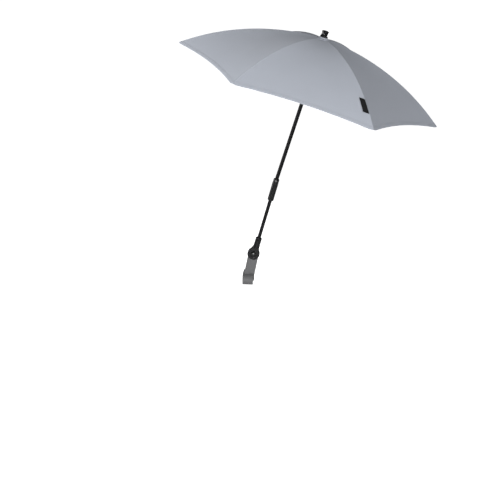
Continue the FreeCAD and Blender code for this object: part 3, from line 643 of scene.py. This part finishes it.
def flute_depth(height):
    """The flutes' share of the radius: none at the flange and the head, most at the waist."""
    share = (height - FLUTE_FOOT) / FLUTE_LONG
    return FLUTE_DEPTH * math.sin(math.pi * share) ** 0.5 if 0 <= share <= 1 else 0.0


def make_ferrule():
    """The black spool on top, with shallow flutes round its waist."""
    turns = 120
    points = []
    for radius, height in FERRULE_PROFILE:
        for j in range(turns):
            angle = 2 * math.pi * j / turns
            flute = flute_depth(height) * (0.5 - 0.5 * math.cos(FLUTES * angle))
            out = max(radius, FERRULE_LEAST) * MM * (1 - flute)
            up = FERRULE_BASE_HEIGHT + height * MM
            points.append(CROWN @ Vector((out * math.cos(angle), out * math.sin(angle), up)))
    faces = ring_faces(len(FERRULE_PROFILE), turns, True)
    faces.append(tuple(range(turns))[::-1])
    faces.append(tuple((len(FERRULE_PROFILE) - 1) * turns + j for j in range(turns)))
    spool = mesh_object("ferrule_spool", points, faces, {}, MATERIALS["black_plastic"])
    spool.data.set_sharp_from_angle(angle=FERRULE_SHARP)
    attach(spool, "upper_shaft")
    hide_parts("ferrule")


# Stage, light and camera

FLOOR_HEIGHT = -0.66
FLOOR_REACH = 40.0
GLOW_NEAR = 0.5
GLOW_FAR = 5.0
GLOW_LEAST = 0.5


def floor_material():
    """White paper; seen directly, it glows more the farther off it is."""
    material, nodes, links, shader = new_material("FloorPaper")
    set_inputs(shader, {"Base Color": (0.92, 0.92, 0.92, 1), "Roughness": 0.9, "Specular IOR Level": 0.0,
                        "Emission Color": (1, 1, 1, 1)})
    away = nodes.new("ShaderNodeVectorMath")
    away.operation = "LENGTH"
    links.new(nodes.new("ShaderNodeTexCoord").outputs["Object"], away.inputs[0])
    glow = nodes.new("ShaderNodeMapRange")
    set_inputs(glow, {"From Min": GLOW_NEAR, "From Max": GLOW_FAR, "To Min": GLOW_LEAST, "To Max": 1.0})
    links.new(away.outputs["Value"], glow.inputs["Value"])
    path = nodes.new("ShaderNodeLightPath")
    seen = math_node(nodes, links, "MULTIPLY", path.outputs["Is Camera Ray"], glow.outputs["Result"])
    links.new(seen, shader.inputs["Emission Strength"])
    return material


def make_floor():
    """A floor that reaches past the view."""
    mesh = bpy.data.meshes.new("floor")
    corners = [(-1, -1), (1, -1), (1, 1), (-1, 1)]
    points = [(x * FLOOR_REACH, y * FLOOR_REACH, FLOOR_HEIGHT) for x, y in corners]
    mesh.from_pydata(points, [], [(0, 1, 2, 3)])
    mesh.materials.append(floor_material())
    floor = bpy.data.objects.new("floor", mesh)
    bpy.context.scene.collection.objects.link(floor)


WORLD_STRENGTH = 0.08


def make_world():
    """A dim sky that lights the object, and white where the camera sees it."""
    world = bpy.data.worlds.new("studio")
    world.use_nodes = True
    nodes, links = world.node_tree.nodes, world.node_tree.links
    shade = nodes["Background"]
    set_inputs(shade, {"Color": (0.96, 0.98, 1.0, 1), "Strength": WORLD_STRENGTH})
    white = nodes.new("ShaderNodeBackground")
    set_inputs(white, {"Color": (1, 1, 1, 1)})
    path = nodes.new("ShaderNodeLightPath")
    mix = nodes.new("ShaderNodeMixShader")
    links.new(path.outputs["Is Camera Ray"], mix.inputs["Fac"])
    links.new(shade.outputs[0], mix.inputs[1])
    links.new(white.outputs[0], mix.inputs[2])
    links.new(mix.outputs[0], nodes["World Output"].inputs["Surface"])
    bpy.context.scene.world = world


# Name, azimuth and elevation in degrees, distance and size in metres, and watts
LAMPS = [
    ("front", 258, 2, 3.4, 1.0, 108),
    ("left", 186, 8, 3.4, 1.0, 117),
    ("right", 330, 8, 3.4, 1.0, 40),
    ("top", 294, 55, 0.6, 0.2, 0.82),
    ("back", 72, -8, 3.4, 1.0, 60),
]
LAMP_TARGET = Vector((0.17, 0.0, 0.55))


def make_lamp(name, azimuth, elevation, distance, size, watts):
    """A round soft lamp that faces the canopy, out of the camera's sight."""
    light = bpy.data.lights.new(name, "AREA")
    light.shape = "DISK"
    light.size = size
    light.energy = watts
    lamp = bpy.data.objects.new(name, light)
    around, up = math.radians(azimuth), math.radians(elevation)
    away = Vector((math.cos(around) * math.cos(up), math.sin(around) * math.cos(up), math.sin(up)))
    lamp.location = LAMP_TARGET + away * distance
    lamp.rotation_euler = away.to_track_quat("Z", "Y").to_euler()
    lamp.visible_camera = False
    bpy.context.scene.collection.objects.link(lamp)


# The camera's place from the hinge, its pitch and turn, and its lens and sensor in millimetres
EYE_PLACE = Vector((0.2578, -3.2127, 1.0106))
EYE_TURN = (math.radians(72.83), 0.0, math.radians(4.85))
EYE_LENS = 93.15
EYE_SENSOR = 36.0


def make_camera():
    camera = bpy.data.cameras.new("camera")
    camera.sensor_width = EYE_SENSOR
    camera.lens = EYE_LENS
    eye = bpy.data.objects.new("camera", camera)
    eye.location = HINGE + EYE_PLACE
    eye.rotation_euler = EYE_TURN
    bpy.context.scene.collection.objects.link(eye)
    bpy.context.scene.camera = eye


dress_solids()
for rib in range(1, RIBS + 1):
    make_half_gore(rib, "left", -1)
    make_half_gore(rib, "right", 1)
    make_pocket(rib)
make_rosette()
make_label()
make_ferrule()
make_floor()
make_world()
for lamp in LAMPS:
    make_lamp(*lamp)
make_camera()
bpy.context.scene.view_settings.view_transform = "Standard"
